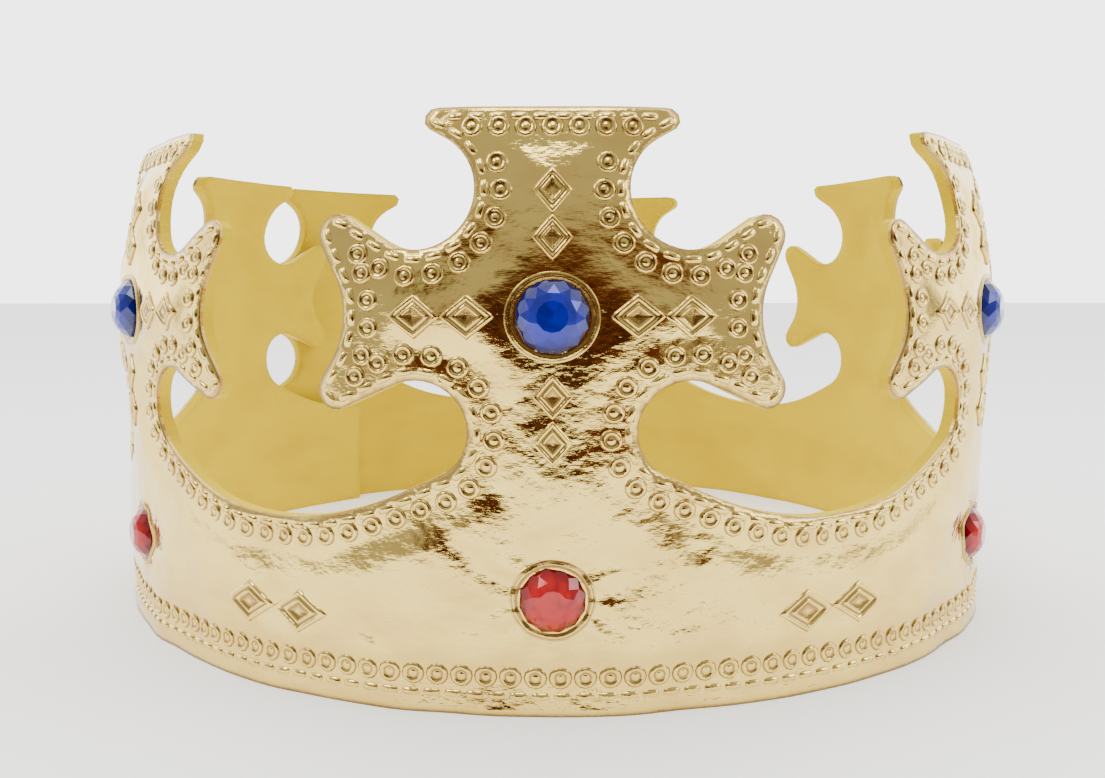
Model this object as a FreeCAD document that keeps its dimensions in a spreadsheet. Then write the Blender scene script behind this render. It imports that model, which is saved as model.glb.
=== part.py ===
import FreeCAD, Part
import functools
import math
import os
from FreeCAD import Base, Rotation, Vector

# A costume crown: one strip cut into a row of flared crosses, closed into a ring.
# The strip is a metallised cover bonded to a foam lining, with glued gems on its face
# and a two-part tape between its overlapping ends.
# Millimetres, +Z up, front towards -Y, origin at the bottom centre of the whole part.

LEVEL_WITHIN = 1e-4  # an edge this close to the ground, in mm, lies on it
ROUND_SHARE = 0.99  # of the distance between two rounds, the most they may fill

SIZES = [
    ("head_round", 600.0, "length once round the middle of the wall"),
    ("cross_pitch", 93.0, "from the middle of one cross to the next, along the strip"),
    ("cross_count", 7, "crosses in the strip"),
    ("front_index", 2, "crosses between the inner end and the front one"),
    ("strip_height", 93.0, "bottom edge to the top of a cross"),
    ("valley_height", 28.8, "bottom edge to the low point between two crosses"),
    ("tail_length", 36.0, "band beyond the middle of the outer end's cross"),
    ("cover_thick", 0.6, "metallised cover"),
    ("foam_thick", 2.0, "foam lining"),
    ("hook_thick", 1.0, "tape half on the inner end's face"),
    ("loop_thick", 1.0, "tape half on the outer end's back"),
    ("tape_clear", 0.2, "slack between the two halves of the tape"),
    ("tape_length", 26.0, "tape along the strip"),
    ("tape_height", 18.0, "tape up the strip"),
    ("tape_foot", 5.0, "bottom edge to the tape"),
    ("tape_inset", 5.0, "inner end to the tape"),
    ("ease_length", 50.0, "length over which an end steps in or out"),
    ("oval_swell", 2.1, "how far the ring is pressed into an oval"),
    ("three_lobe", 1.2, "uneven bulge with three lobes"),
    ("four_lobe", -1.0, "uneven bulge with four lobes"),
    ("foot_flare", 0.8, "wall at its foot, out from the valley's level"),
    ("arm_flare", 1.2, "wall at the arms, out from the valley's level"),
    ("tip_lean", 5.0, "wall at the top, in from the valley's level"),
    ("arm_level", 61.5, "height of the arms' middle"),
    ("band_level", 18.3, "height of the band's gems"),
    ("top_half", 19.8, "half width of a cross at its top"),
    ("top_round", 1.8, "radius of the top corners"),
    ("neck_half", 11.4, "half width of the post above the arms"),
    ("neck_round", 8.9, "radius of the notch above an arm"),
    ("neck_drop", 12.7, "that notch's centre, down from the top edge"),
    ("waist_half", 12.4, "half width of the post below the arms"),
    ("waist_round", 7.7, "radius of the notch below an arm"),
    ("waist_level", 44.1, "height of that notch's centre"),
    ("arm_reach", 35.8, "middle of a cross to the end of an arm"),
    ("arm_round", 3.0, "radius of the arms' corners"),
    ("arm_top", 77.0, "top of an arm's end"),
    ("arm_foot", 47.0, "foot of an arm's end"),
    ("arm_dip", 4.4, "depth of the hollow in an arm's end"),
    ("dip_round", 13.0, "radius of that hollow"),
    ("valley_round", 54.0, "radius of the low curve between crosses"),
    ("chord_error", 0.12, "how far a straight run of a round edge may leave the curve"),
    ("emboss_rise", 0.35, "height of the embossed frames"),
    ("ridge_width", 0.8, "width of the embossed frames"),
    ("lozenge_long", 7.2, "embossed lozenge, along its arm"),
    ("lozenge_wide", 5.8, "embossed lozenge, across its arm"),
    ("lozenge_gap", 0.2, "gap between the two lozenges of a pair"),
    ("arm_lozenge_out", 16.2, "middle of a cross to the touching point of a side arm's pair"),
    ("top_lozenge_out", 15.2, "arm level to the touching point of the top arm's pair"),
    ("foot_lozenge_out", 16.8, "arm level down to the touching point of the lower arm's pair"),
    ("band_lozenge_long", 10.8, "embossed lozenge on the band, along the strip"),
    ("band_lozenge_wide", 6.8, "embossed lozenge on the band, up the strip"),
    ("band_lozenge_level", 13.6, "height of the band's lozenges"),
    ("blue_gem_radius", 5.6, "blue gem, centre to corner"),
    ("blue_gem_height", 3.4, "blue gem, back to table"),
    ("red_gem_radius", 5.2, "red gem, centre to corner"),
    ("red_gem_height", 3.2, "red gem, back to table"),
    ("gem_facets", 12, "sides of a gem"),
    ("table_share", 0.55, "width of a gem's table as a share of its width"),
    ("gem_rim", 0.9, "height of a gem's upright rim"),
    ("glue_line", 0.1, "glue between a gem's back and the cover"),
    ("socket_gap", 0.3, "gap between a gem and its embossed ring"),
]

doc = FreeCAD.newDocument("CostumeCrown")
sheet = doc.addObject("Spreadsheet::Sheet", "Sizes")
for row, (alias, value, note) in enumerate(SIZES, start=1):
    sheet.set(f"A{row}", note)
    sheet.set(f"B{row}", str(value))
    sheet.setAlias(f"B{row}", alias)
doc.recompute()


def size(alias):
    """The value of one named cell."""
    return float(sheet.get(alias))


# The strip in the flat: x runs along it from the front cross, y is the height

pitch = size("cross_pitch")
cross_count = int(size("cross_count"))
first_cross = -size("front_index") * pitch
crosses = [first_cross + index * pitch for index in range(cross_count)]
strip_start = crosses[0] - pitch / 2
strip_end = crosses[-1] + size("tail_length")
wall_thick = size("cover_thick") + size("foam_thick")
outer_face = wall_thick / 2
foam_face = outer_face - size("cover_thick")
inner_face = -wall_thick / 2

# The ring: the strip's ends overlap by what it has more than once round

ring_radius = size("head_round") / (2 * math.pi)
overlap = strip_end - strip_start - size("head_round")
tape_stack = size("hook_thick") + size("loop_thick") + size("tape_clear")
end_step = (wall_thick + tape_stack) / 2


def smooth(share):
    """0 below 0, 1 above 1, and an even S curve between."""
    share = min(1.0, max(0.0, share))
    return share * share * (3 - 2 * share)


def end_offset(along):
    """How far the wall steps in at its inner end and out at its outer end."""
    ease = size("ease_length")
    step_in = 1 - smooth((along - strip_start - overlap) / ease)
    step_out = smooth((along - strip_end + overlap + ease) / ease)
    return end_step * (step_out - step_in)


def wall_lean(height):
    """The wall's offset at a height: the cubic through four named offsets."""
    knots = [
        (0.0, size("foot_flare")),
        (size("valley_height"), 0.0),
        (size("arm_level"), size("arm_flare")),
        (size("strip_height"), -size("tip_lean")),
    ]
    total = 0.0
    for level, offset in knots:
        weight = 1.0
        for other, _ in knots:
            if other != level:
                weight *= (height - other) / (level - other)
        total += offset * weight
    return total


def strip_point(along, height, out):
    """The place of a point of the flat strip once it is bent into the ring."""
    angle = along / ring_radius
    radius = ring_radius + end_offset(along) + wall_lean(height) + out
    radius += size("oval_swell") * math.cos(2 * angle)
    radius += size("three_lobe") * math.sin(3 * angle)
    radius += size("four_lobe") * math.sin(4 * angle)
    return Vector(radius * math.sin(angle), -radius * math.cos(angle), height)


@functools.cache
def strip_surface(out):
    """The bent strip at one depth, as a spline surface over the flat strip."""
    spans = round((strip_end - strip_start) / (pitch / 4))
    alongs = [strip_start + (strip_end - strip_start) * i / spans for i in range(spans + 1)]
    heights = [size("strip_height") * i / 4 for i in range(5)]
    rows = []
    for height in heights:
        curve = Part.BSplineCurve()
        points = [strip_point(along, height, out) for along in alongs]
        curve.interpolate(Points=points, Parameters=alongs)
        rows.append(curve)
    columns = []
    for poles in zip(*[row.getPoles() for row in rows]):
        curve = Part.BSplineCurve()
        curve.interpolate(Points=list(poles), Parameters=heights)
        columns.append(curve)
    surface = Part.BSplineSurface()
    surface.buildFromPolesMultsKnots(
        [column.getPoles() for column in columns],
        rows[0].getMultiplicities(), columns[0].getMultiplicities(),
        rows[0].getKnots(), columns[0].getKnots(), False, False, 3, 3)
    return surface


def wire_at(depth, loop):
    """A closed wire at one depth of the bent strip, through the flat points of a loop."""
    edges = []
    for start, end in zip(loop, loop[1:] + loop[:1]):
        flat_run = Part.Geom2d.Line2dSegment(Base.Vector2d(*start), Base.Vector2d(*end))
        edges.append(flat_run.toShape(strip_surface(depth)))
    return Part.Wire(edges)


def skin(depth, loop, holes=()):
    """A face of the bent strip inside one flat loop and outside the holes. Loops run
    anticlockwise."""
    face = Part.Face(strip_surface(depth), wire_at(depth, loop))
    if holes:
        face.cutHoles([wire_at(depth, hole[::-1]) for hole in holes])
    face.validate()
    return face


def cut_face(low_edge, high_edge):
    """One run of a cut edge: a plane along the foot, else a ruled face."""
    ruled = Part.makeRuledSurface(low_edge, high_edge)
    start, end = (low_edge.valueAt(at) for at in low_edge.ParameterRange)
    if max(abs(start.z), abs(end.z)) > LEVEL_WITHIN:
        return ruled
    face = Part.Face(Part.Plane(Vector(), Vector(0, 0, 1)), ruled.OuterWire)
    face.validate()
    return face


def walls(low, high, loop):
    """The cut edges between two depths, one face for each run of a loop."""
    pairs = zip(wire_at(low, loop).Edges, wire_at(high, loop).Edges)
    return [cut_face(low_edge, high_edge) for low_edge, high_edge in pairs]


def closed_solid(faces):
    shell = Part.Shell(faces)
    shell.sewShape()
    solid = Part.Solid(shell.Shells[0])
    if solid.Volume < 0:
        solid.reverse()
    return solid


def slab(low, high, loop):
    """A plain piece of the bent strip between two depths."""
    return closed_solid([skin(low, loop), skin(high, loop)] + walls(low, high, loop))


# Flat outlines, each a loop of points

def heading(peg, following):
    """Direction of the straight run that touches two round pegs. A peg's radius is
    positive where the run passes over it and negative where it passes under."""
    dx = following[0] - peg[0]
    dy = following[1] - peg[1]
    return math.atan2(dy, dx) - math.asin((peg[2] - following[2]) / math.hypot(dx, dy))


def rim_point(peg, direction):
    """The point of a peg where a run in this direction touches it."""
    x, y, radius = peg
    return (x - radius * math.sin(direction), y + radius * math.cos(direction))


def arc_points(peg, first_direction, turn):
    """Points along a peg's rim, close enough together for the chord error."""
    step = 2 * math.acos(1 - size("chord_error") / abs(peg[2]))
    count = max(1, math.ceil(abs(turn) / step))
    return [rim_point(peg, first_direction + turn * i / count) for i in range(count + 1)]


def peg_outline(pegs, first_direction, last_direction):
    """Straight runs and tangent arcs round a row of pegs, as a taut string lies."""
    directions = [first_direction]
    for peg, following in zip(pegs, pegs[1:]):
        directions.append(heading(peg, following))
    directions.append(last_direction)
    points = []
    for peg, arrive, leave in zip(pegs, directions, directions[1:]):
        turn = (leave - arrive) % (2 * math.pi)
        if peg[2] > 0:
            turn -= 2 * math.pi
        points += arc_points(peg, arrive, turn)
    return points


def cross_pegs(centre):
    """The pegs of one cross, from its left foot over its top to its right foot."""
    arm_edge = size("arm_reach") - size("arm_round")
    half = [
        (size("waist_half") + size("waist_round"), size("waist_level"), -size("waist_round")),
        (arm_edge, size("arm_foot") + size("arm_round"), size("arm_round")),
        (size("arm_reach") - size("arm_dip") + size("dip_round"), size("arm_level"),
         -size("dip_round")),
        (arm_edge, size("arm_top") - size("arm_round"), size("arm_round")),
        (size("neck_half") + size("neck_round"), size("strip_height") - size("neck_drop"),
         -size("neck_round")),
        (size("top_half") - size("top_round"), size("strip_height") - size("top_round"),
         size("top_round")),
    ]
    left = [(centre - x, y, radius) for x, y, radius in half]
    right = [(centre + x, y, radius) for x, y, radius in reversed(half)]
    return left + right


def valley_peg(centre):
    return (centre, size("valley_height") + size("valley_round"), -size("valley_round"))


def fitted(pegs):
    """The same pegs with each hollow round small enough for a run to pass its neighbours."""
    result = []
    for i, (x, y, radius) in enumerate(pegs):
        if radius < 0:
            beside = pegs[max(0, i - 1):i] + pegs[i + 1:i + 2]
            room = min(ROUND_SHARE * math.hypot(x - peg[0], y - peg[1]) - peg[2] for peg in beside)
            radius = -min(-radius, room)
        result.append((x, y, radius))
    return result


def strip_outline():
    """The whole strip's edge: the crosses, the two ends and the straight foot."""
    pegs = [valley_peg(strip_start)]
    for centre in crosses:
        pegs += cross_pegs(centre)
        pegs.append(valley_peg(centre + pitch / 2))
    last_direction = math.asin((strip_end - pegs[-1][0]) / size("valley_round"))
    points = peg_outline(fitted(pegs), 0.0, last_direction)
    points += [(strip_end, 0.0), (strip_start, 0.0)]
    return points[::-1]


def lozenge(x, y, half_x, half_y):
    return [(x + half_x, y), (x, y + half_y), (x - half_x, y), (x, y - half_y)]


def circle(x, y, radius):
    return arc_points((x, y, -radius), 0.0, 2 * math.pi)[:-1]


def rectangle(left, right, foot, top):
    return [(left, foot), (right, foot), (right, top), (left, top)]


# Embossed frames on the cover, each a frame between an outer and an inner loop

def lozenge_frame(x, y, half_x, half_y):
    inner = 1 - size("ridge_width") * math.hypot(half_x, half_y) / (half_x * half_y)
    return lozenge(x, y, half_x, half_y), lozenge(x, y, half_x * inner, half_y * inner)


def lozenge_pair(x, y, half_long, half_wide, upright):
    """Two lozenge frames, point to point."""
    apart = half_long + size("lozenge_gap") / 2
    if upright:
        places = [(x, y - apart, half_wide, half_long), (x, y + apart, half_wide, half_long)]
    else:
        places = [(x - apart, y, half_long, half_wide), (x + apart, y, half_long, half_wide)]
    return [lozenge_frame(*place) for place in places]


def ring_frame(x, y, gem_radius):
    inner_radius = gem_radius + size("socket_gap")
    return circle(x, y, inner_radius + size("ridge_width")), circle(x, y, inner_radius)


def cover_frames():
    half_long = size("lozenge_long") / 2
    half_wide = size("lozenge_wide") / 2
    level = size("arm_level")
    frames = []
    for centre in crosses:
        frames += lozenge_pair(centre, level + size("top_lozenge_out"), half_long, half_wide, True)
        frames += lozenge_pair(centre, level - size("foot_lozenge_out"), half_long, half_wide, True)
        for side in (-1, 1):
            x = centre + side * size("arm_lozenge_out")
            frames += lozenge_pair(x, level, half_long, half_wide, False)
        frames.append(ring_frame(centre, level, size("blue_gem_radius")))
        frames.append(ring_frame(centre, size("band_level"), size("red_gem_radius")))
    for left_cross in crosses[:-1]:
        frames += lozenge_pair(left_cross + pitch / 2, size("band_lozenge_level"),
                               size("band_lozenge_long") / 2, size("band_lozenge_wide") / 2, False)
    return frames


def embossed_cover(outline):
    """The cover as one closed skin: flat back, and a face that rises at each frame."""
    crest = outer_face + size("emboss_rise")
    frames = cover_frames()
    faces = [skin(foam_face, outline)]
    faces.append(skin(outer_face, outline, [outer for outer, inner in frames]))
    faces += walls(foam_face, outer_face, outline)
    for outer, inner in frames:
        faces.append(skin(crest, outer, [inner]))
        faces.append(skin(outer_face, inner))
        faces += walls(outer_face, crest, outer)
        faces += walls(outer_face, crest, inner)
    return closed_solid(faces)


# The sub-parts

subparts = []


def add_feature(name, shape):
    feature = doc.addObject("Part::Feature", name)
    feature.Label = name
    feature.Shape = shape
    feature.Placement = FreeCAD.Placement()
    subparts.append(feature)
    return feature


def face_placement(along, height):
    """On the cover at this place: Z out of the face, X along the strip."""
    step = 0.5
    depth = outer_face + size("glue_line")
    place = strip_point(along, height, depth)
    ahead = strip_point(along + step, height, depth) - place
    above = strip_point(along, height + step, depth) - place
    return FreeCAD.Placement(place, Rotation(ahead, above, ahead.cross(above), "XZY"))


def add_gem(name, radius_alias, height_alias, along, height):
    """A faceted gem: an upright prism with a broad bevel up to its table."""
    body = doc.addObject("PartDesign::Body", name)
    body.Label = name
    prism = body.newObject("PartDesign::AdditivePrism", name + "_blank")
    prism.setExpression("Polygon", "Sizes.gem_facets")
    prism.setExpression("Circumradius", f"Sizes.{radius_alias}")
    prism.setExpression("Height", f"Sizes.{height_alias}")
    doc.recompute()
    top_index = max(range(len(prism.Shape.Faces)),
                    key=lambda index: prism.Shape.Faces[index].CenterOfMass.z)
    bevel = body.newObject("PartDesign::Chamfer", name + "_bevel")
    bevel.Base = (prism, [f"Face{top_index + 1}"])
    bevel.ChamferType = "Two distances"
    bevel.setExpression("Size", f"Sizes.{radius_alias} * (1 - Sizes.table_share)")
    bevel.setExpression("Size2", f"Sizes.{height_alias} - Sizes.gem_rim")
    body.Tip = bevel
    doc.recompute()
    body.Placement = face_placement(along, height)
    subparts.append(body)


outline = strip_outline()
add_feature("foam_lining", slab(inner_face, foam_face, outline))
add_feature("gold_cover", embossed_cover(outline))

tape_left = strip_start + size("tape_inset")
tape_top = size("tape_foot") + size("tape_height")
hook_loop = rectangle(tape_left, tape_left + size("tape_length"), size("tape_foot"), tape_top)
add_feature("hook_tape", slab(outer_face, outer_face + size("hook_thick"), hook_loop))
loop_left = tape_left + size("head_round")
loop_loop = rectangle(loop_left, loop_left + size("tape_length"), size("tape_foot"), tape_top)
add_feature("loop_tape", slab(inner_face - size("loop_thick"), inner_face, loop_loop))

for number, centre in enumerate(crosses, start=1):
    add_gem(f"blue_gem_{number}", "blue_gem_radius", "blue_gem_height", centre,
            size("arm_level"))
    add_gem(f"red_gem_{number}", "red_gem_radius", "red_gem_height", centre,
            size("band_level"))

# The origin goes to the bottom centre of the whole part

doc.recompute()
box = Part.makeCompound([part.Shape for part in subparts]).optimalBoundingBox(False)
shift = Vector(-(box.XMin + box.XMax) / 2, -(box.YMin + box.YMax) / 2, -box.ZMin)
for part in subparts:
    part.Placement = FreeCAD.Placement(part.Placement.Base + shift, part.Placement.Rotation)
doc.recompute()

# Checks and export

for item in doc.Objects:
    if "Invalid" in item.State or "Error" in item.State:
        raise RuntimeError(f"{item.Label} is in state {item.State}")
os.makedirs("parts", exist_ok=True)
for part in subparts:
    shape = part.Shape
    if shape.isNull() or not shape.isValid():
        raise RuntimeError(f"{part.Label} has no valid shape")
for part in subparts:
    part.Shape.exportStep(f"parts/{part.Label}.step")
    print(part.Label, len(part.Shape.Solids), round(part.Shape.Volume, 1))
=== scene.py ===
import math

import bpy
import numpy as np
from bpy.props import FloatProperty, FloatVectorProperty, IntProperty, PointerProperty
from mathutils.geometry import delaunay_2d_cdt
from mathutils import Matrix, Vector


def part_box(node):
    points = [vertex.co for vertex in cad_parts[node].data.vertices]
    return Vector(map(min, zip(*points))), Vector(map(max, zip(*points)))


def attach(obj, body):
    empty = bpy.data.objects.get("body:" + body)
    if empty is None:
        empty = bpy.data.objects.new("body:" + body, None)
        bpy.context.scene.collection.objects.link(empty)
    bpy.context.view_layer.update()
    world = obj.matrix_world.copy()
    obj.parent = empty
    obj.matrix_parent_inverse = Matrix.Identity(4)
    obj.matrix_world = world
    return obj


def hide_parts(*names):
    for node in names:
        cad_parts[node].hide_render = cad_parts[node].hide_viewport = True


bl_info = {
    "name": "Costume Headdress",
    "version": (1, 0, 0),
    "blender": (4, 5, 0),
    "location": "View3D > Sidebar > Headdress",
    "description": "Embossed gold cloth ring with flared crosses, soft lining and faceted stones",
    "category": "Object",
}

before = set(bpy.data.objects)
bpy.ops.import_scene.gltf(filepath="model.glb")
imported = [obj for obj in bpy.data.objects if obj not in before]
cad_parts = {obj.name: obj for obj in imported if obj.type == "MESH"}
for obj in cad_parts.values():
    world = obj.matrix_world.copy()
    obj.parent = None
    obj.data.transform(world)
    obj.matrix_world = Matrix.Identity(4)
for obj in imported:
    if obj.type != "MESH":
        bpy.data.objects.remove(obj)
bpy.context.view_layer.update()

MM = 0.001
TURN = 2 * math.pi

# The half cross, from the middle of a valley up to its top corner, as pegs (x, y, signed radius)
# in mm from the cross's middle line. A taut string round them is the cut edge of the strip.
EDGE_PEGS = (
    (-46.5, 82.8, -54.0),
    (-20.1, 44.1, -7.7),
    (-32.8, 50.0, 3.0),
    (-44.4, 61.5, -13.0),
    (-32.8, 74.0, 3.0),
    (-20.3, 80.3, -8.9),
    (-18.0, 91.2, 1.8),
)
# The same way for the row of ring bosses, which ends beside the top row
RING_PEGS = (
    (-46.5, 82.8, -57.2),
    (-20.1, 44.1, -11.7),
    (-29.8, 52.0, 0.01),
    (-44.4, 61.5, -17.2),
    (-29.8, 71.2, 0.01),
    (-20.3, 80.3, -12.8),
)
RING_ROW_END = 2.068
STRIP_TOP = 93.0
VALLEY_LEVEL = 28.8
BLUE_LEVEL = 61.4
RED_LEVEL = 18.3
GLUE_LINE = 0.1
TAPE_STACK = 2.2
END_EASE = 50.0
# The wall's lean: levels and how far out it stands there, in mm
WALL_KNOTS = ((0.0, VALLEY_LEVEL, 61.5, STRIP_TOP), (0.8, 0.0, 1.2, -5.0))
# Slow waves of the cloth: height in mm, radians for each mm along and up, phase
WAVES = (
    (0.16, 0.21, 0.05, 0.3), (0.13, -0.13, 0.17, 1.9), (0.1, 0.33, -0.12, 4.1),
    (0.07, 0.09, 0.31, 2.6), (0.05, 0.52, 0.21, 0.8), (0.045, -0.4, 0.47, 5.2),
)
# Profile of a lozenge's two frames and its middle: share of its size, rise in mm, painted shade
LOZENGE_STEPS = (
    (1.05, -0.12, 1.0), (0.97, 0.3, 0.3), (0.88, 0.42, 0.0), (0.76, 0.3, 0.2), (0.7, 0.08, 1.0),
    (0.62, 0.1, 0.8), (0.55, 0.34, 0.1), (0.46, 0.3, 0.1), (0.38, 0.08, 1.0),
)
FACETS = 12
# The camera: metres in front of the ring's middle and above the floor, radians, lens in mm
CAMERA_BACK = 0.2607
CAMERA_UP = 0.0668
CAMERA_PITCH = 0.0995
CAMERA_ROLL = 0.0007
CAMERA_LENS = 35.35


# Properties
class HeaddressSizes(bpy.types.PropertyGroup):
    head_round: FloatProperty(
        name="Head Round", description="Length once round the middle of the wall",
        default=0.6, unit="LENGTH",
    )
    cross_pitch: FloatProperty(
        name="Cross Pitch", description="Distance from one cross to the next, along the strip",
        default=0.093, unit="LENGTH",
    )
    tail_length: FloatProperty(
        name="Tail Length", description="Strip left beyond the middle of the last cross",
        default=0.036, unit="LENGTH",
    )
    cover_thick: FloatProperty(
        name="Cover Thickness", description="Thickness of the gold cloth",
        default=0.0006, unit="LENGTH",
    )
    lining_thick: FloatProperty(
        name="Lining Thickness", description="Thickness of the soft lining",
        default=0.002, unit="LENGTH",
    )
    cloth_step: FloatProperty(
        name="Cloth Step", description="Distance between the points of the cloth",
        default=0.0013, unit="LENGTH",
    )
    cross_count: IntProperty(
        name="Cross Count", description="Number of crosses on the strip", default=7,
    )
    pillow: FloatProperty(
        name="Pillow", description="How far the cloth swells inside its pressed border",
        default=0.0008, unit="LENGTH",
    )


class HeaddressColours(bpy.types.PropertyGroup):
    gold: FloatVectorProperty(
        name="Gold", description="Colour of the metallised cloth", subtype="COLOR", size=4,
        default=(0.85, 0.63, 0.17, 1.0),
    )
    # Painted shade: the brown mixed into the grooves of the embossing, along the cloth's cut edge
    # and on its back
    painted_shade: FloatVectorProperty(
        name="Painted Shade", description="Colour in the grooves of the embossing", subtype="COLOR",
        size=4, default=(0.20, 0.085, 0.02, 1.0),
    )
    lining: FloatVectorProperty(
        name="Lining", description="Colour of the soft lining", subtype="COLOR", size=4,
        default=(0.68, 0.50, 0.0, 1.0),
    )
    blue: FloatVectorProperty(
        name="Blue", description="Colour of the blue stones", subtype="COLOR", size=4,
        default=(0.001, 0.006, 0.32, 1.0),
    )
    red: FloatVectorProperty(
        name="Red", description="Colour of the red stones", subtype="COLOR", size=4,
        default=(0.45, 0.0008, 0.002, 1.0),
    )


# Flat strip
def string_path(pegs, first, last, step):
    """Points of a taut string round pegs: at each peg the heading turns from the one it arrives on
    to the one it leaves on, and the point is centre + radius * (-sin heading, cos heading)."""
    x, y, r = np.array(pegs).T
    dx, dy = np.diff(x), np.diff(y)
    run = np.arctan2(dy, dx) - np.arcsin((r[:-1] - r[1:]) / np.hypot(dx, dy))
    arrive, leave = np.append(first, run), np.append(run, last)
    turn = (leave - arrive) % TURN
    turn[r > 0] -= TURN
    parts = []
    for k in range(len(x)):
        count = int(abs(turn[k] * r[k]) / step) + 3
        phi = arrive[k] + turn[k] * np.linspace(0, 1, count)
        parts.append(np.stack([x[k] - r[k] * np.sin(phi), y[k] + r[k] * np.cos(phi)], 1))
    return np.concatenate(parts)


def stations(path, pitch):
    """Points and headings every pitch along a polyline, with the pitch fitted to its length."""
    length = np.append(0, np.cumsum(np.hypot(*np.diff(path, axis=0).T)))
    count = max(1, round(length[-1] / pitch))
    at = (np.arange(count) + 0.5) * length[-1] / count
    x, y = (np.interp(at, length, path[:, i]) for i in (0, 1))
    ahead = [np.interp(at + 0.2, length, path[:, i]) for i in (0, 1)]
    back = [np.interp(at - 0.2, length, path[:, i]) for i in (0, 1)]
    return np.stack([x, y, np.arctan2(ahead[1] - back[1], ahead[0] - back[0])], 1)


def thinned(path, step):
    """A polyline with points at most a step apart and no repeats."""
    length = np.append(0, np.cumsum(np.hypot(*np.diff(path, axis=0).T)))
    at = np.linspace(0, length[-1], int(length[-1] / step) + 2)
    return np.stack([np.interp(at, length, path[:, i]) for i in (0, 1)], 1)


def both_sides(rows):
    """Stations of a left half and of its mirror image."""
    flip = rows[::-1] * [-1, 1, -1]
    return np.concatenate([rows, flip])


def for_each_cross(rows):
    """Stations repeated at every cross, kept where they lie on the strip."""
    margin = 1.6
    every = np.concatenate([rows + [middle, 0, 0] for middle in cross_middles()])
    start, end = strip_ends()
    return every[(every[:, 0] > start + margin) & (every[:, 0] < end - margin)]


def sizes():
    """The sizes that the panel shows."""
    return bpy.context.scene.headdress_sizes


def cross_middles():
    """Positions of the crosses along the strip, in mm. The third one faces the front."""
    s = sizes()
    return (np.arange(s.cross_count) - 2) * s.cross_pitch / MM


def strip_ends():
    s = sizes()
    middles = cross_middles()
    return middles[0] - 0.5 * s.cross_pitch / MM, middles[-1] + s.tail_length / MM


def wall_faces():
    """The wall's outer face, the face between cloth and lining, and its inner face, in mm out."""
    s = sizes()
    half = (s.cover_thick + s.lining_thick) / MM / 2
    return half, half - s.cover_thick / MM, -half


def cut_line(step):
    """The closed edge of the flat strip, anticlockwise, in mm."""
    start, end = strip_ends()
    half = string_path(EDGE_PEGS, 0.0, 0.0, 0.3)
    unit = np.concatenate([half, half[::-1] * [-1, 1]])
    top = np.concatenate([unit + [m, 0] for m in cross_middles()])
    valley = EDGE_PEGS[0]
    off = cross_middles()[-1] - valley[0] - end
    top = top[top[:, 0] < end - 0.4]
    top = np.vstack([top, [end, valley[1] - math.sqrt(valley[2] ** 2 - off**2)]])
    top = thinned(top, step)
    corners = np.array([top[0], [start, 0], [end, 0], top[-1]])
    sides = [thinned(corners[i : i + 2], step)[:-1] for i in range(3)]
    return np.concatenate([top[::-1][:-1], *sides])


def edge_table():
    """Distance from the cut edge on a half-mm grid over half a cross, in mm."""
    half = string_path(EDGE_PEGS, 0.0, 0.0, 0.4)
    top = np.vstack([half, [0.0, STRIP_TOP]])
    gx, gy = np.meshgrid(np.arange(-47, 0.5, 0.5), np.arange(0, 94, 0.5), indexing="ij")
    p = np.stack([gx.ravel(), gy.ravel()], 1)
    a, b = top[:-1], top[1:]
    d = b - a
    t = ((p[:, None] - a) * d).sum(2) / np.maximum((d * d).sum(1), 1e-9)
    near = a + np.clip(t, 0, 1)[..., None] * d
    dist = np.hypot(*(p[:, None] - near).transpose(2, 0, 1)).min(1)
    return np.minimum(dist, p[:, 1]).reshape(gx.shape)


def beside(along):
    """How far along from the nearest cross's middle line, negative before it, in mm."""
    pitch = sizes().cross_pitch / MM
    return (np.asarray(along) + pitch / 2) % pitch - pitch / 2


def folded(along):
    """Distance from the nearest cross's middle line, in mm."""
    return np.abs(beside(along))


def edge_distance(along, height):
    """Distance from the cut edge by looking it up in the half-cross table."""
    u = np.clip((47 - folded(along)) / 0.5, 0, EDGE.shape[0] - 1.001)
    v = np.clip(np.asarray(height) / 0.5, 0, EDGE.shape[1] - 1.001)
    i, j = u.astype(int), v.astype(int)
    fu, fv = u - i, v - j
    low = EDGE[i, j] * (1 - fu) + EDGE[i + 1, j] * fu
    high = EDGE[i, j + 1] * (1 - fu) + EDGE[i + 1, j + 1] * fu
    return low * (1 - fv) + high * fv


def ease(t):
    """3t^2 - 2t^3 between 0 and 1."""
    t = np.clip(t, 0, 1)
    return t * t * (3 - 2 * t)


# Strip to ring
def cubic_through(knots, values, at):
    """The one cubic through four points."""
    return np.polyval(np.polyfit(knots, values, 3), at)


# Folds of the cloth: start and end (along, height), depth and half width, in mm
FOLDS = (
    (-17.8, 29.5, -6.0, 19.4, -0.42, 1.5),
    (-30.5, 13.5, -24.0, 9.0, -0.35, 1.2),
    (3.4, 11.6, 5.8, 7.6, -0.3, 1.0),
    (20.5, 26.5, 23.0, 23.0, -0.35, 1.4),
    (27.0, 30.0, 47.0, 26.0, 0.3, 2.2),
    (12.0, 9.0, 36.0, 13.0, 0.18, 3.0),
    (-44.0, 22.0, -36.0, 29.0, 0.2, 3.0),
    (-11.5, 40.0, -6.0, 31.0, -0.3, 2.0),
    (7.0, 44.0, 13.5, 30.5, 0.35, 2.4),
    (-9.5, 84.0, -7.5, 70.0, 0.25, 2.2),
    (-27.0, 66.5, -12.0, 67.5, 0.3, 2.0),
    (-24.0, 57.0, -9.0, 54.0, -0.3, 2.0),
    (9.0, 53.0, 25.0, 56.5, 0.3, 2.2),
    (75.0, 8.0, 110.0, 26.0, 0.25, 3.5),
    (-118.0, 24.0, -80.0, 10.0, 0.25, 3.5),
)


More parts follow.
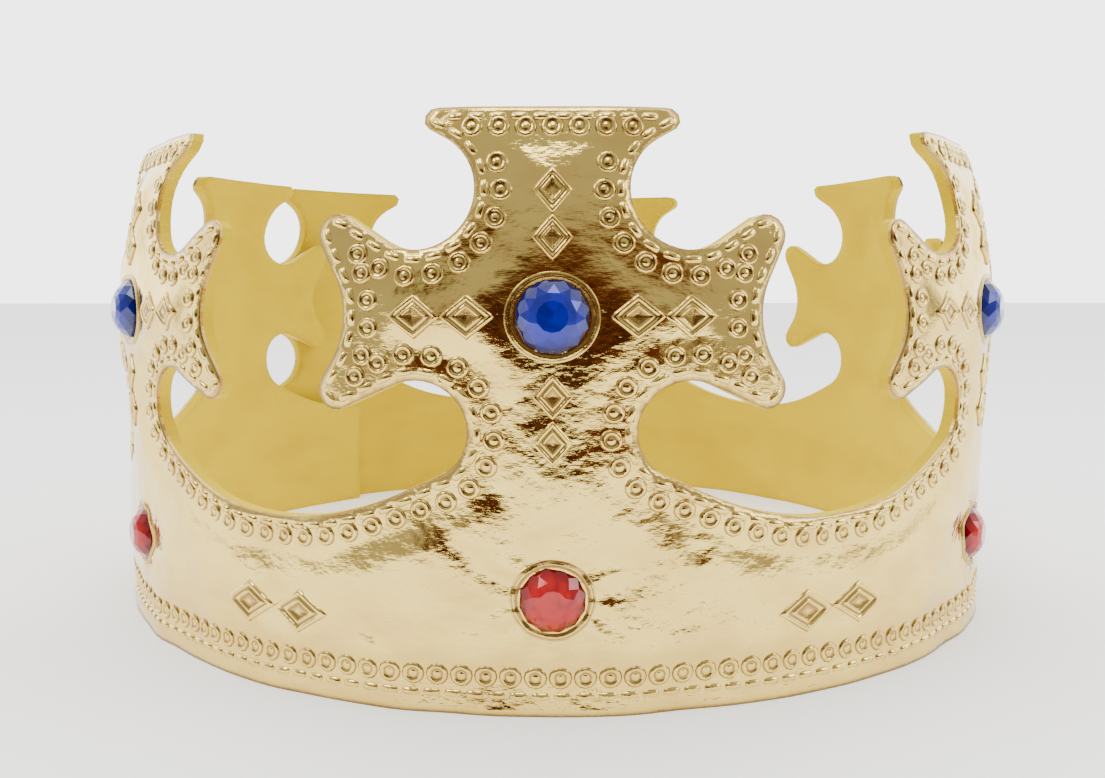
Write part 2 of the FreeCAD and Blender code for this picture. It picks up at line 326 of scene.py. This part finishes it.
def swell(along, height):
    """How far the cloth stands off its smooth wall, in mm: a pillow inside the pressed border,
    slow waves, folds that fade to both ends, and pleats that run out from each red stone."""
    along, height = np.asarray(along, float), np.asarray(height, float)
    out = sizes().pillow / MM * ease((edge_distance(along, height) - 4.6) / 6.0)
    for amount, fa, fh, phase in WAVES:
        out = out + amount * np.sin(fa * along + fh * height + phase)
    for x0, y0, x1, y1, depth, wide in FOLDS:
        dx, dy = x1 - x0, y1 - y0
        t = ((along - x0) * dx + (height - y0) * dy) / (dx * dx + dy * dy)
        off = ((along - x0) * dy - (height - y0) * dx) / math.hypot(dx, dy)
        fade = ease(1.25 - np.abs(2 * t - 1))
        out = out + depth * fade * np.exp(-((off / wide) ** 2))
    near = beside(along)
    dist = np.hypot(near, height - RED_LEVEL)
    angle = np.arctan2(height - RED_LEVEL, near) + 0.02 * along
    pleats = np.cos(9 * angle + 2 * np.sin(2 * angle))
    return out + 0.2 * pleats * np.exp(-(((dist - 7.0) / 3.2) ** 2))


def wall(along, height, out):
    """The smooth wall: the flat point (along, height) goes to the angle along / R and to the radius
    R + 2.1 cos 2a + 1.2 sin 3a - 1.0 sin 4a + lean(height) + out, a step further out where the
    last end lies on the first."""
    along, height = np.asarray(along, float), np.asarray(height, float)
    s = sizes()
    radius = s.head_round / MM / TURN
    start, end = strip_ends()
    overlap = end - start - s.head_round / MM
    wall_thick = (s.cover_thick + s.lining_thick) / MM
    step = (wall_thick + TAPE_STACK) / 2
    rise_out = ease((along - end + overlap + END_EASE) / END_EASE)
    rise = rise_out - (1 - ease((along - start - overlap) / END_EASE))
    a = along / radius
    r = radius + step * rise + cubic_through(*WALL_KNOTS, height) + out
    r = r + 2.1 * np.cos(2 * a) + 1.2 * np.sin(3 * a) - 1.0 * np.sin(4 * a)
    return np.stack([r * np.sin(a), -r * np.cos(a), height + 0 * a], -1)


def ring_shift():
    """What moves the ring so that it lies where the CAD cover lies, in mm."""
    low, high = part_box("gold_cover")
    along = np.linspace(*strip_ends(), 4000)
    tops = [STRIP_TOP, STRIP_TOP, 75, 75, VALLEY_LEVEL, VALLEY_LEVEL]
    height = np.interp(folded(along), [0, 18, 19, 35, 36, 47], tops)
    outer = wall_faces()[0]
    tall = np.concatenate([wall(along, h * height, outer) for h in (0.0, 0.3, 0.66, 0.83, 1.0)])
    middle = (tall.min(0) + tall.max(0)) / 2
    return (np.array(low) + np.array(high))[:2] / 2 / MM - middle[:2]


def place(along, height, out):
    """A point of the finished cloth, in metres, out mm beyond the middle of the wall."""
    p = wall(along, height, out + swell(along, height))
    p[..., :2] += SHIFT
    return p * MM


# Meshes
def add_piece(name, points, faces, flat, uv, painted_shade, material):
    """A mesh object from numpy arrays, with its flat place as UV in mm and a mask of painted shade.
    """
    mesh = bpy.data.meshes.new(name)
    mesh.from_pydata(points.tolist(), [], faces)
    mesh.polygons.foreach_set("use_smooth", ~np.asarray(flat, bool))
    corner = np.empty(len(mesh.loops), np.int32)
    mesh.loops.foreach_get("vertex_index", corner)
    mesh.uv_layers.new(name="Flat").data.foreach_set("uv", uv[corner].astype(np.float32).ravel())
    mask = mesh.attributes.new("painted_shade", "FLOAT", "POINT")
    mask.data.foreach_set("value", np.asarray(painted_shade, np.float32))
    mesh.materials.append(material)
    mesh.update()
    obj = bpy.data.objects.new(name, mesh)
    bpy.context.scene.collection.objects.link(obj)
    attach(obj, "root")
    return obj


def flat_net(step):
    """Triangles of the flat strip: its edge and a triangular grid inside it."""
    edge = cut_line(step)
    rows = np.arange(step * 0.8, STRIP_TOP, step * 0.866)
    start, end = strip_ends()
    cols = np.arange(start + step * 0.8, end - step * 0.5, step)
    x, y = np.meshgrid(cols, rows, indexing="ij")
    x = x + 0.5 * step * (np.arange(len(rows)) % 2)
    x, y = x.ravel(), y.ravel()
    keep = (edge_distance(x, y) > step * 0.55) & (x < end - step * 0.5)
    x, y = x[keep], y[keep]
    fold = -folded(x)
    half = np.vstack([string_path(EDGE_PEGS, 0.0, 0.0, 0.4), [0.0, STRIP_TOP]])
    inside = np.zeros(len(x), bool)
    loop = np.vstack([[half[0, 0], -1.0], half, [0.0, -1.0]])
    for (x0, y0), (x1, y1) in zip(loop, np.roll(loop, -1, 0)):
        if y0 != y1:
            hit = (y0 > y) != (y1 > y)
            inside ^= hit & (fold < (x1 - x0) * (y - y0) / (y1 - y0) + x0)
    grid = np.stack([x, y], 1)[inside | (y < VALLEY_LEVEL - 0.8)]
    flat = np.vstack([edge, grid])
    made = delaunay_2d_cdt(flat.tolist(), [], [list(range(len(edge)))], 1, 1e-5)
    return np.array(made[0]), np.array(made[2])


def slab(net, outer, inner):
    """A closed slab over a flat net: its outer face, its inner face turned round, and a wall of
    quads along every edge that only one triangle has."""
    flat, tris = net
    n = len(flat)
    pairs = np.concatenate([tris[:, [0, 1]], tris[:, [1, 2]], tris[:, [2, 0]]])
    code, back = pairs[:, 0] * n + pairs[:, 1], pairs[:, 1] * n + pairs[:, 0]
    rim = pairs[~np.isin(code, back)]
    walls = np.stack([rim[:, 0], rim[:, 0] + n, rim[:, 1] + n, rim[:, 1]], 1)
    faces = tris.tolist() + (tris[:, ::-1] + n).tolist() + walls.tolist()
    sharp = np.arange(len(faces)) >= 2 * len(tris)
    s, h = flat.T
    points = np.concatenate([place(s, h, outer), place(s, h, inner)])
    return points, faces, sharp, np.tile(flat, (2, 1)), np.unique(rim)


def stamp(outline, profile, tip=None):
    """One embossed shape: the closed outline scaled by each step (scale, rise, painted shade) of
    the profile, and a tip (rise, painted shade) in its middle. Its faces are quads, then triangles."""
    outline = np.asarray(outline, float)
    n = len(outline)
    u = np.concatenate([outline * s for s, _, _ in profile])
    rise = np.repeat([p[1] for p in profile], n)
    painted_shade = np.repeat([p[2] for p in profile], n)
    i = np.arange(n)
    a, b = i, (i + 1) % n
    ring = np.stack([a, b, b + n, a + n], 1)
    last = (len(profile) - 1) * n
    quads = np.concatenate([ring + k for k in range(0, last, n)])
    tris = np.zeros((0, 3), int)
    if tip:
        tris = np.stack([last + a, last + b, 0 * i + last + n], 1)
        u = np.vstack([u, [0, 0]])
        rise, painted_shade = np.append(rise, tip[0]), np.append(painted_shade, tip[1])
    return u, rise, painted_shade, (quads, tris)


def emboss(name, shape, rows, material):
    """A shape stamped at each station (along, height, heading), on the cloth's outer face."""
    u, rise, painted_shade, faces = shape
    c, s = np.cos(rows[:, 2])[:, None], np.sin(rows[:, 2])[:, None]
    along = rows[:, 0:1] + c * u[:, 0] - s * u[:, 1]
    height = rows[:, 1:2] + s * u[:, 0] + c * u[:, 1]
    points = place(along, height, wall_faces()[0] + rise).reshape(-1, 3)
    uv = np.stack([along, height], -1).reshape(-1, 2)
    first = np.arange(len(rows))[:, None, None] * len(u)
    every = [f for part in faces for f in (first + part).reshape(-1, part.shape[1]).tolist()]
    mask = np.tile(painted_shade, len(rows))
    add_piece(name, points, every, np.zeros(len(every)), uv, mask, material)


def disc(radius, count):
    """A circle of evenly spaced points."""
    a = np.arange(count) * TURN / count
    return radius * np.stack([np.cos(a), np.sin(a)], 1)


def diamond(half_long, half_high, per_side):
    """A rhombus with points along its sides."""
    corner = np.array([[half_long, 0], [0, half_high], [-half_long, 0], [0, -half_high]])
    t = (np.arange(per_side) / per_side)[:, None]
    return np.concatenate([a + (b - a) * t for a, b in zip(corner, np.roll(corner, -1, 0))])


def bar(half_long, half_wide):
    """A rounded bar: x is the cosine to the power 0.5 and y the sine to the power 0.7."""
    a = np.arange(12) * TURN / 12
    c, s = np.cos(a), np.sin(a)
    x, y = np.sign(c) * np.abs(c) ** 0.5, np.sign(s) * np.abs(s) ** 0.7
    return np.stack([half_long * x, half_wide * y], 1)


# Node wrapper
class Sock:
    """An output socket with arithmetic, so that a material reads like a formula."""

    def __init__(self, net, socket):
        self.net, self.socket = net, socket

    def _two(self, kind, a, b):
        return self.net.node("ShaderNodeMath", {0: a, 1: b}, operation=kind)

    def __add__(self, o):
        return self._two("ADD", self, o)

    def __radd__(self, o):
        return self._two("ADD", o, self)

    def __sub__(self, o):
        return self._two("SUBTRACT", self, o)

    def __rsub__(self, o):
        return self._two("SUBTRACT", o, self)

    def __mul__(self, o):
        return self._two("MULTIPLY", self, o)

    def __rmul__(self, o):
        return self._two("MULTIPLY", o, self)

    def __truediv__(self, o):
        return self._two("DIVIDE", self, o)

    def __rtruediv__(self, o):
        return self._two("DIVIDE", o, self)

    def __pow__(self, o):
        return self._two("POWER", self, o)

    def ramp(self, low, high):
        """0 at low and 1 at high, eased in between."""
        return self.net.node(
            "ShaderNodeMapRange", {0: self, 1: low, 2: high}, interpolation_type="SMOOTHSTEP"
        )


class Net:
    """A node tree under construction."""

    def __init__(self, tree):
        self.tree = tree
        tree.nodes.clear()

    def node(self, kind, inputs=None, out=0, **settings):
        """Any node: its settings, then its inputs by name or number, as sockets or constants."""
        made = self.tree.nodes.new(kind)
        for key, value in settings.items():
            setattr(made, key, value)
        for key, value in (inputs or {}).items():
            if isinstance(value, Sock):
                self.tree.links.new(value.socket, made.inputs[key])
            else:
                made.inputs[key].default_value = value
        return Sock(self, made.outputs[out]) if made.outputs else None

    def mix(self, factor, a, b):
        """Colour a where the factor is 0 and b where it is 1."""
        return self.node("ShaderNodeMix", {0: factor, 6: a, 7: b}, out=2, data_type="RGBA")

    def stretched(self, vector, scale):
        return self.node("ShaderNodeVectorMath", {0: vector, 1: scale}, operation="MULTIPLY")

    def noise(self, vector, scale, detail=2.0):
        return self.node("ShaderNodeTexNoise", {"Vector": vector, "Scale": scale, "Detail": detail})

    def flat_place(self):
        return self.node("ShaderNodeUVMap", uv_map="Flat")

    def object_place(self):
        return self.node("ShaderNodeTexCoord", out="Object")

    def attribute(self, name):
        return self.node("ShaderNodeAttribute", out="Fac", attribute_name=name)

    def bump(self, height, strength, distance, normal=None):
        inputs = {"Height": height, "Strength": strength, "Distance": distance}
        if normal:
            inputs["Normal"] = normal
        return self.node("ShaderNodeBump", inputs)

    def surface(self, **inputs):
        """The one principled surface of a material."""
        named = {k.replace("_", " ").title().replace("Ior", "IOR"): v for k, v in inputs.items()}
        shade = self.node("ShaderNodeBsdfPrincipled", named, out="BSDF")
        self.node("ShaderNodeOutputMaterial", {"Surface": shade})


def new_material(name):
    """A material and an empty net for it, or no net where the material is there already."""
    found = bpy.data.materials.get(name)
    if found:
        return found, None
    made = bpy.data.materials.new(name)
    made.use_nodes = True
    return made, Net(made.node_tree)


def gold_material():
    """Mirror-like metallised weave: a pale gold metal with brown shade painted into its grooves,
    along its cut edge and on its back, whose thread bump frays the edges of what it reflects into
    short level streaks."""
    mat, net = new_material("gold weave")
    if net:
        colours = bpy.context.scene.headdress_colours
        flat = net.flat_place()
        streaks = net.noise(net.stretched(flat, (1.1, 4.2, 1.0)), 1.0, 3.0)
        threads = net.noise(net.stretched(flat, (3.2, 5.5, 1.0)), 1.0, 1.0)
        patch = net.noise(net.stretched(flat, (0.09, 0.13, 1.0)), 1.0, 2.0)
        puckers = net.noise(net.stretched(flat, (0.32, 0.42, 1.0)), 1.0, 2.0)
        # Painted shade: how much brown shade goes into the grooves, the cut edge and the back; it
        # also roughens them
        painted_shade = net.attribute("painted_shade").ramp(0.15, 0.95)
        body = net.mix(patch.ramp(0.35, 0.7), tuple(colours.gold), (0.78, 0.54, 0.15, 1.0))
        colour = net.mix(painted_shade * 0.75, body, tuple(colours.painted_shade))
        rough = 0.07 + patch.ramp(0.4, 0.75) * 0.06 + painted_shade * 0.2
        normal = net.bump(puckers, 1.0, 0.00022)
        normal = net.bump(streaks, 1.0, 0.000022, normal)
        normal = net.bump(threads, 1.0, 0.000012, normal)
        net.surface(base_color=colour, metallic=1.0, roughness=rough, normal=normal)
    return mat


def lining_material():
    """Matt brushed foam, a little uneven."""
    mat, net = new_material("yellow foam")
    if net:
        colours = bpy.context.scene.headdress_colours
        flat = net.flat_place()
        blotch = net.noise(net.stretched(flat, (0.05, 0.09, 1.0)), 1.0, 3.0)
        pile = net.noise(net.stretched(flat, (2.4, 2.4, 1.0)), 1.0, 3.0)
        dark = (0.54, 0.36, 0.0, 1.0)
        colour = net.mix(blotch.ramp(0.35, 0.8) * 0.6, tuple(colours.lining), dark)
        colour = net.mix(pile.ramp(0.3, 0.8) * 0.12, colour, dark)
        net.surface(
            base_color=colour, roughness=0.92, normal=net.bump(pile, 0.35, 0.0002),
            specular_ior_level=0.15,
        )
    return mat


def stone_material(name, colour, deep):
    """Foiled moulded stone: coloured metal-like facets under a clear polished skin, with painted
    shade towards the girdle and a faint painted glow.
    """
    mat, net = new_material(name)
    if net:
        place_in = net.object_place()
        fleck = net.noise(place_in, 420.0, 1.0)
        # Painted shade: darker towards the stone's girdle, from the rim mask made with the facets
        rim = net.attribute("painted_shade").ramp(0.2, 0.9)
        tint = net.mix(fleck.ramp(0.4, 0.65) * 0.5, tuple(colour), deep)
        tint = net.mix(rim * 0.8, tint, deep)
        # The emission is a faint painted glow in the stone's own colour
        net.surface(
            base_color=tint, metallic=0.2, roughness=0.07, coat_weight=0.35, coat_roughness=0.02,
            ior=1.5, emission_color=tint, emission_strength=0.12,
        )
    return mat


def tape_material():
    """Woven closure tape with a short pile."""
    mat, net = new_material("tape pile")
    if net:
        pile = net.noise(net.object_place(), 2600.0, 2.0)
        colour = net.mix(pile.ramp(0.35, 0.7), (0.72, 0.68, 0.56, 1.0), (0.5, 0.46, 0.36, 1.0))
        net.surface(base_color=colour, roughness=0.95, normal=net.bump(pile, 0.6, 0.0004))
    return mat


# Operators
class HEADDRESS_OT_cover(bpy.types.Operator):
    """Build the gold cloth, one strip on the outside of the ring"""

    bl_idname = "headdress.cover"
    bl_label = "Gold Cover"

    def execute(self, context):
        s = sizes()
        net = flat_net(s.cloth_step / MM)
        outer, between, _ = wall_faces()
        clear_of_lining = 0.02
        points, faces, sharp, uv, rim = slab(net, outer, between + clear_of_lining)
        # Painted shade: a brown line along the cloth's cut edge, and a darker back against the
        # lining
        painted_shade = np.zeros(len(points))
        painted_shade[: len(net[0])][rim] = 0.85
        painted_shade[len(net[0]):] = 0.6
        obj = add_piece(
            "cover_cloth", points, faces, sharp, uv, painted_shade, gold_material()
        )
        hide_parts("gold_cover")
        return {"FINISHED"}


class HEADDRESS_OT_relief(bpy.types.Operator):
    """Build the embossing on the cloth: bosses, beads, lozenges and the rings round the stones"""

    bl_idname = "headdress.relief"
    bl_label = "Embossing"

    def execute(self, context):
        gold = gold_material()
        start, end = strip_ends()
        # rows of ring bosses
        half = stations(string_path(RING_PEGS, 0.0, RING_ROW_END, 0.3), 4.25)
        top = np.stack([np.linspace(-12.2, 12.2, 7), np.full(7, 89.95), np.zeros(7)], 1)
        level = np.arange(start + 3.0, end - 2.5, 3.72)
        foot = np.stack([level, np.full(len(level), 6.0), np.zeros(len(level))], 1)
        rows = np.vstack([for_each_cross(np.vstack([both_sides(half), top])), foot])
        # The third number of each profile step, and the second of the tip, is painted shade in the
        # grooves
        ring = stamp(
            disc(1.72, 12),
            ((1.08, -0.12, 1.0), (0.96, 0.16, 0.75), (0.8, 0.4, 0.0), (0.62, 0.3, 0.25),
             (0.46, 0.08, 1.0), (0.3, 0.26, 0.2)),
            (0.36, 0.0),
        )
        emboss("ring_bosses", ring, rows, gold)
        # border of short beads along the whole edge
        pegs = [(x, y, r - 1.45) for x, y, r in EDGE_PEGS]
        side = stations(string_path(pegs, 0.0, 0.0, 0.3), 3.3)
        top = np.linspace(-15.0, 15.0, 10)
        top = np.stack([top, np.full(10, 91.55), np.zeros(10)], 1)
        level = np.arange(start + 3.0, end - 2.5, 3.3)
        foot = np.stack([level, np.full(len(level), 3.1), np.zeros(len(level))], 1)
        rows = np.vstack([for_each_cross(np.vstack([both_sides(side), top])), foot])
        bead = stamp(bar(1.36, 0.62), ((1.05, -0.12, 1.0), (0.82, 0.26, 0.15)), (0.34, 0.0))
        emboss("edge_beads", bead, rows, gold)
        # lozenges: two on each arm, two on the band between crosses
        arm, upright, band = (
            stamp(diamond(half_long, half_high, 4), LOZENGE_STEPS, (0.3, 0.3))
            for half_long, half_high in ((4.0, 3.4), (3.5, 2.9), (5.4, 3.5))
        )
        side_rows = for_each_cross(np.array([
            [-20.0, 61.5, 0.0], [-12.1, 61.5, 0.0], [12.1, 61.5, 0.0], [20.0, 61.5, 0.0],
        ]))
        tall_rows = for_each_cross(np.array([
            [0.0, 73.2, math.pi / 2], [0.0, 80.2, math.pi / 2],
            [0.0, 49.6, math.pi / 2], [0.0, 42.6, math.pi / 2],
        ]))
        band_rows = for_each_cross(np.array([[-51.9, 13.7, 0.0], [-41.1, 13.7, 0.0]]))
        emboss("arm_lozenges", arm, side_rows, gold)
        emboss("post_lozenges", upright, tall_rows, gold)
        emboss("band_lozenges", band, band_rows, gold)
        # pressed rings round the stones
        socket = stamp(
            disc(1.0, 48),
            ((1.0, -0.15, 1.0), (0.965, 0.26, 0.3), (0.93, 0.1, 0.9), (0.9, 0.3, 0.2),
             (0.85, 0.12, 1.0), (0.8, 0.08, 1.0)),
        )
        kinds = (("blue_sockets", 6.9, BLUE_LEVEL), ("red_sockets", 6.5, RED_LEVEL))
        for name, radius, level in kinds:
            sized = (socket[0] * radius, *socket[1:])
            emboss(name, sized, for_each_cross(np.array([[0.0, level, 0.0]])), gold)
        return {"FINISHED"}


class HEADDRESS_OT_lining(bpy.types.Operator):
    """Build the soft yellow lining on the inside of the ring"""

    bl_idname = "headdress.lining"
    bl_label = "Lining"

    def execute(self, context):
        net = flat_net(2.0)
        s, h = net[0].T
        _, between, inner = wall_faces()
        press = 0.0
        for level, radius in ((BLUE_LEVEL, 6.0), (RED_LEVEL, 5.8)):
            off = np.hypot(beside(s), h - level) - radius
            press = press + 0.22 * np.exp(-((off / 0.9) ** 2))
        points, faces, sharp, uv, _ = slab(net, between, inner + press)
        obj = add_piece(
            "lining_foam", points, faces, sharp, uv, np.zeros(len(points)),
            lining_material(),
        )
        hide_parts("foam_lining")
        return {"FINISHED"}


class HEADDRESS_OT_stones(bpy.types.Operator):
    """Build the seven blue and the seven red faceted stones"""

    bl_idname = "headdress.stones"
    bl_label = "Stones"

    def execute(self, context):
        colours = context.scene.headdress_colours
        kinds = (
            ("blue_gem", 5.6, 3.4, "blue stone", colours.blue, (0.0, 0.004, 0.05, 1.0)),
            ("red_gem", 5.2, 3.2, "red stone", colours.red, (0.08, 0.0, 0.004, 1.0)),
        )
        for kind, radius, tall, name, colour, deep in kinds:
            material = stone_material(name, colour, deep)
            for number, middle in enumerate(cross_middles(), 1):
                self.stone(f"{kind}_{number}", kind, radius, tall, middle, material)
        return {"FINISHED"}

    def stone(self, node, kind, radius, tall, middle, material):
        """Rings of FACETS corners, each turned by half a facet, up to a flat table: (share of the
        radius, share of the height, share of a facet turned, painted shade at the rim)."""
        low, high = (np.array(v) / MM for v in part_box(node))
        centre = (low + high) / 2
        level = centre[2]
        angle = math.atan2(centre[0] - SHIFT[0], -(centre[1] - SHIFT[1]))
        ring = sizes().head_round / MM
        along = angle / TURN * ring
        along += ring * round((middle - along) / ring)
        levels = (
            (1.0, 0.0, 0.0, 1.0), (1.0, 0.22, 0.0, 0.9), (0.86, 0.52, 0.5, 0.6),
            (0.64, 0.84, 0.0, 0.1), (0.42, 1.0, 0.5, 0.0),
        )
        turn = 0.21 + 0.37 * middle
        count = FACETS
        flat = []
        for share, _, shift, _ in levels:
            a = (np.arange(count) + shift) * TURN / count + turn
            flat.append(radius * share * np.stack([np.cos(a), np.sin(a)], 1))
        flat = np.concatenate(flat)
        rise = tall * np.repeat([step[1] for step in levels], count)
        # Painted shade: darkest at the girdle, none on the table
        dark = np.repeat([step[3] for step in levels], count)
        i = np.arange(count)
        nxt = (i + 1) % count
        faces = np.stack([i, nxt, nxt + count, i + count], 1).tolist()
        for k in range(1, len(levels) - 1):
            a, b = k * count, (k + 1) * count
            if levels[k + 1][2] > levels[k][2]:
                faces += np.stack([a + i, a + nxt, b + i], 1).tolist()
                faces += np.stack([a + nxt, b + nxt, b + i], 1).tolist()
            else:
                faces += np.stack([a + i, a + nxt, b + nxt], 1).tolist()
                faces += np.stack([a + i, b + nxt, b + i], 1).tolist()
        faces.append((i + (len(levels) - 1) * count).tolist())
        faces.append(i[::-1].tolist())
        seat = wall_faces()[0] + GLUE_LINE
        base = wall(along, level, seat)
        base[:2] += SHIFT
        right = wall(along + 1, level, seat) - wall(along - 1, level, seat)
        up = wall(along, level + 1, seat) - wall(along, level - 1, seat)
        right, up = right / np.linalg.norm(right), up / np.linalg.norm(up)
        out = np.cross(right, up)
        points = base + flat[:, :1] * right + flat[:, 1:] * up + rise[:, None] * out
        middle_now = (points.min(0) + points.max(0)) / 2
        points = points + (centre - middle_now)
        obj = add_piece(
            node + "_cut", points * MM, faces, np.ones(len(faces)), flat, dark, material
        )
        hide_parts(node)


class HEADDRESS_OT_tapes(bpy.types.Operator):
    """Give the closure tapes, whose CAD shapes are kept, their woven material"""

    bl_idname = "headdress.tapes"
    bl_label = "Closure Tapes"

    def execute(self, context):
        for node in ("hook_tape", "loop_tape"):
            mesh = bpy.data.objects[node].data
            mesh.materials.clear()
            mesh.materials.append(tape_material())
        return {"FINISHED"}


class HEADDRESS_OT_stage(bpy.types.Operator):
    """Build the floor, the soft light and the camera"""

    bl_idname = "headdress.stage"
    bl_label = "Stage"

    def execute(self, context):
        scene = context.scene
        floor_mesh = bpy.data.meshes.new("floor")
        half = 3.0
        near = -0.3
        corners = [(-half, near, 0), (half, near, 0), (half, half, 0), (-half, half, 0)]
        floor_mesh.from_pydata(corners, [], [(0, 1, 2, 3)])
        mat, net = new_material("pale floor")
        net.surface(
            base_color=(0.95, 0.95, 0.95, 1.0), roughness=0.9, specular_ior_level=0.0,
            emission_color=(1.0, 1.0, 1.0, 1.0), emission_strength=0.4,
        )
        floor_mesh.materials.append(mat)
        floor = bpy.data.objects.new("floor", floor_mesh)
        scene.collection.objects.link(floor)
        self.world(scene)
        for name, where, aim, size, power in (
            ("key", (-0.55, -0.35, 0.75), (0, 0, 0.05), 0.35, 3.0),
            ("fill", (0.75, -0.25, 0.45), (0, 0, 0.05), 0.35, 2.0),
            ("top", (0.0, -0.3, 0.9), (0, 0, 0.05), 0.4, 3.0),
        ):
            lamp = bpy.data.lights.new(name, "AREA")
            lamp.size, lamp.energy = size, power
            obj = bpy.data.objects.new(name, lamp)
            scene.collection.objects.link(obj)
            obj.location = where
            away = obj.location - type(obj.location)(aim)
            obj.rotation_euler = away.to_track_quat("Z", "Y").to_euler()
        camera = bpy.data.cameras.new("camera")
        camera.lens, camera.sensor_width = CAMERA_LENS, 36.0
        obj = bpy.data.objects.new("camera", camera)
        scene.collection.objects.link(obj)
        obj.location = (SHIFT[0] * MM, -CAMERA_BACK + SHIFT[1] * MM, CAMERA_UP)
        obj.rotation_euler = (math.pi / 2 - CAMERA_PITCH, CAMERA_ROLL, 0.0)
        scene.camera = obj
        return {"FINISHED"}

    def world(self, scene):
        """White all round the object but for the dim room behind the camera."""
        world = bpy.data.worlds.new("studio")
        scene.world = world
        world.use_nodes = True
        net = Net(world.node_tree)
        way = net.node("ShaderNodeTexCoord", out="Generated")
        split = net.node("ShaderNodeSeparateXYZ", {0: way})
        y, z = (Sock(net, split.socket.node.outputs[i]) for i in (1, 2))
        front = (0.0 - y).ramp(0.74, 0.90) * (0.25 - z).ramp(-0.25, 0.1)
        wide = net.noise(net.stretched(way, (3.0, 3.0, 3.0)), 1.0, 1.0).ramp(0.3, 0.6)
        dim = net.mix(wide, (0.02, 0.008, 0.004, 1.0), (0.14, 0.045, 0.02, 1.0))
        side = net.mix(y.ramp(-0.3, 0.6), (0.64, 0.62, 0.58, 1.0), (4.0, 4.0, 4.0, 1.0))
        colour = net.mix(front, side, dim)
        back = net.node("ShaderNodeBackground", {"Color": colour, "Strength": 1.0})
        net.node("ShaderNodeOutputWorld", {"Surface": back})


class HEADDRESS_PT_panel(bpy.types.Panel):
    """Sizes, colours and steps of the headdress"""

    bl_idname = "HEADDRESS_PT_panel"
    bl_label = "Costume Headdress"
    bl_space_type = "VIEW_3D"
    bl_region_type = "UI"
    bl_category = "Headdress"

    def draw(self, context):
        for group in (context.scene.headdress_sizes, context.scene.headdress_colours):
            for key in group.__annotations__:
                self.layout.prop(group, key)
        for step in STEPS:
            self.layout.operator(step.bl_idname)


STEPS = (
    HEADDRESS_OT_cover,
    HEADDRESS_OT_relief,
    HEADDRESS_OT_lining,
    HEADDRESS_OT_stones,
    HEADDRESS_OT_tapes,
    HEADDRESS_OT_stage,
)
CLASSES = (HeaddressSizes, HeaddressColours, *STEPS, HEADDRESS_PT_panel)


def register():
    for cls in CLASSES:
        bpy.utils.register_class(cls)
    bpy.types.Scene.headdress_sizes = PointerProperty(type=HeaddressSizes)
    bpy.types.Scene.headdress_colours = PointerProperty(type=HeaddressColours)


def unregister():
    del bpy.types.Scene.headdress_colours
    del bpy.types.Scene.headdress_sizes
    for cls in reversed(CLASSES):
        bpy.utils.unregister_class(cls)


def declare():
    """Work out the cut edge of the flat strip and its length in metres, and keep neither."""
    x, y = cut_line(0.5).T
    start, end = strip_ends()
    (end - start) * MM


def main():
    global EDGE, SHIFT
    register()
    EDGE = edge_table()
    SHIFT = ring_shift()
    bpy.ops.headdress.cover()
    bpy.ops.headdress.relief()
    bpy.ops.headdress.lining()
    bpy.ops.headdress.stones()
    bpy.ops.headdress.tapes()
    declare()
    bpy.ops.headdress.stage()
    bpy.context.view_layer.update()


if __name__ == "__main__":
    main()
